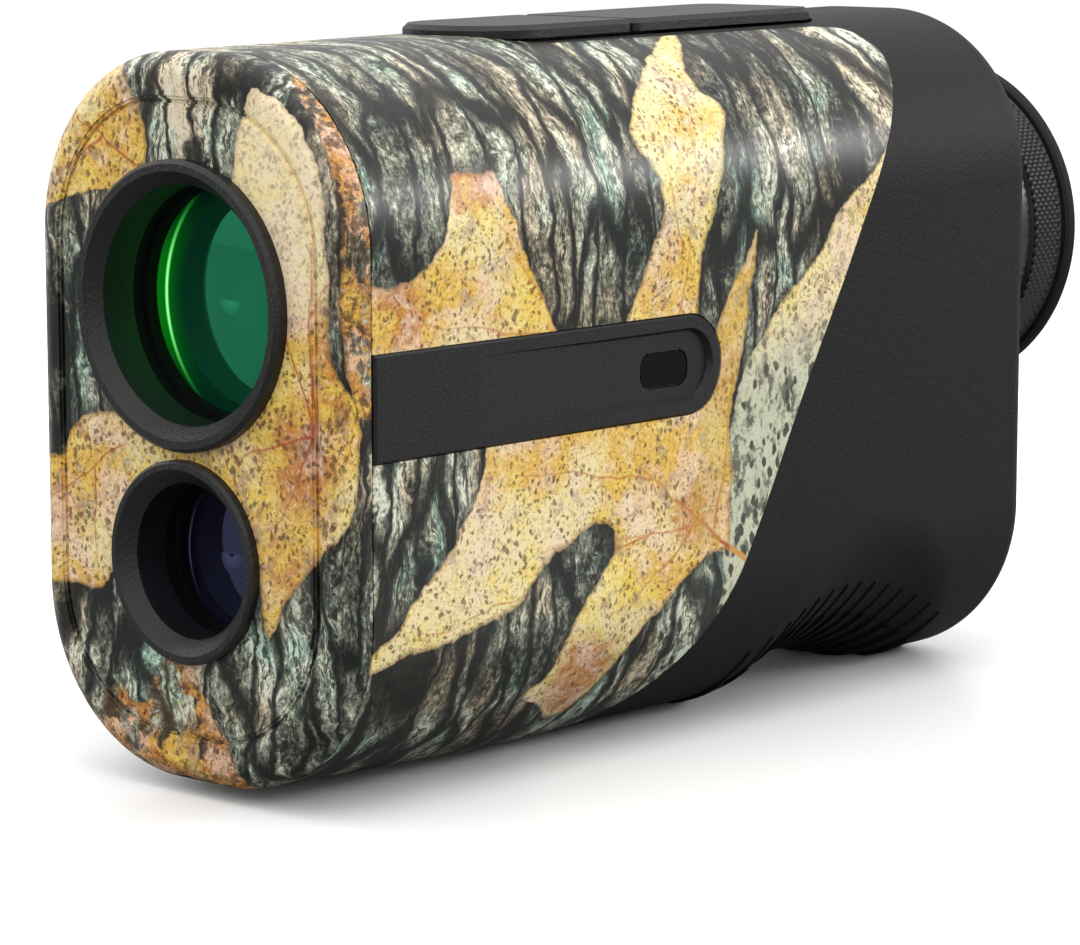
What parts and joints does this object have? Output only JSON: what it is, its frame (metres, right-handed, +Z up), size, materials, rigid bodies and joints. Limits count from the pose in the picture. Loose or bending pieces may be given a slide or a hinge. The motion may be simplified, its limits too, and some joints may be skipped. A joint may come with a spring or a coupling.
{
  "type": "laser rangefinder",
  "caption": "Hand-held laser rangefinder with a leaf-and-bark printed casing, black finger grip, top buttons, stacked front lenses and a turning eyepiece.",
  "frame": {"origin": "under the middle of the body, on the plane that its belly and grip rest on", "axes": "+Z up, the front lenses face -Y and the eyepiece faces +Y, +X is the side with the charging port"},
  "size_m": [0.0428, 0.1216, 0.0729],
  "materials": {
    "camo_shell": "satin",
    "grip_black": "matte",
    "trim_black": "satin",
    "button_black": "matte",
    "seal_rubber": "matte",
    "barrel_black": "matte",
    "bezel_black": "satin",
    "coated_glass": "polished",
    "receiver_glass": "polished",
    "clear_glass": "polished",
    "filter_glass": "polished",
    "frame_grey": "matte",
    "spring_steel": "satin",
    "screw_steel": "satin",
    "board_green": "satin",
    "chip_black": "satin",
    "can_metal": "satin",
    "flex_amber": "satin",
    "display_glass": "polished",
    "cell_wrap": "satin"
  },
  "bodies": {
    "housing": {"front_cover": "camo_shell", "main_casing": "camo_shell", "rear_grip": "grip_black", "rear_cover": "grip_black", "front_gasket": "seal_rubber", "rear_screws": "screw_steel", "side_strip": "trim_black", "usb_socket": "screw_steel", "button_base": "trim_black", "mode_switch": "chip_black", "power_switch": "chip_black", "button_board": "board_green", "button_membranes": "seal_rubber", "objective_bezel": "bezel_black", "objective_barrel": "barrel_black", "objective_lens": "coated_glass", "objective_retainer": "barrel_black", "objective_baffle": "barrel_black", "objective_rear_lens": "clear_glass", "objective_seal": "seal_rubber", "front_prism": "clear_glass", "rear_prism": "clear_glass", "prism_clip": "spring_steel", "optical_frame": "frame_grey", "frame_screws": "screw_steel", "display_panel": "display_glass", "display_holder": "frame_grey", "display_flex": "flex_amber", "eyepiece_barrel": "barrel_black", "field_lens": "clear_glass", "field_lens_holder": "barrel_black", "eyepiece_seal": "seal_rubber", "laser_diode": "can_metal", "laser_holder": "frame_grey", "receiver_bezel": "bezel_black", "receiver_barrel": "barrel_black", "receiver_lens": "receiver_glass", "receiver_retainer": "barrel_black", "band_filter": "filter_glass", "detector_board": "board_green", "photodiode": "can_metal", "main_board": "board_green", "board_chips": "chip_black", "board_screws": "screw_steel", "battery_tray": "frame_grey", "battery": "cell_wrap", "battery_lead": "flex_amber"},
    "mode_key": {"mode_button": "button_black"},
    "power_key": {"power_button": "button_black"},
    "plug": {"port_plug": "seal_rubber"},
    "diopter": {"diopter_ring": "grip_black", "eyecup": "seal_rubber"},
    "eye_cell": {"eyepiece_cell": "barrel_black", "eye_lens": "clear_glass", "eye_lens_retainer": "barrel_black"}
  },
  "joints": [
    {"name": "mode_press", "type": "slide", "parent": "housing", "child": "mode_key", "axis": [0, 0, -1], "range_m": [0, 0.0005], "stiffness_N_per_m": 1500},
    {"name": "power_press", "type": "slide", "parent": "housing", "child": "power_key", "axis": [0, 0, -1], "range_m": [0, 0.0005], "stiffness_N_per_m": 1500},
    {"name": "plug_pull", "type": "slide", "parent": "housing", "child": "plug", "axis": [1, 0, 0], "range_m": [0, 0.0045]},
    {"name": "diopter_turn", "type": "hinge", "parent": "housing", "child": "diopter", "pos_m": [0, 0.055, 0.0472], "axis": [0, 1, 0], "range_deg": [-120, 120]},
    {"name": "lens_travel", "type": "slide", "parent": "housing", "child": "eye_cell", "axis": [0, 1, 0], "range_m": [-0.0008, 0.0008]}
  ],
  "couplings": [
    {"joint": "lens_travel", "follows": "diopter_turn", "m_per_rad": 0.00038}
  ]
}
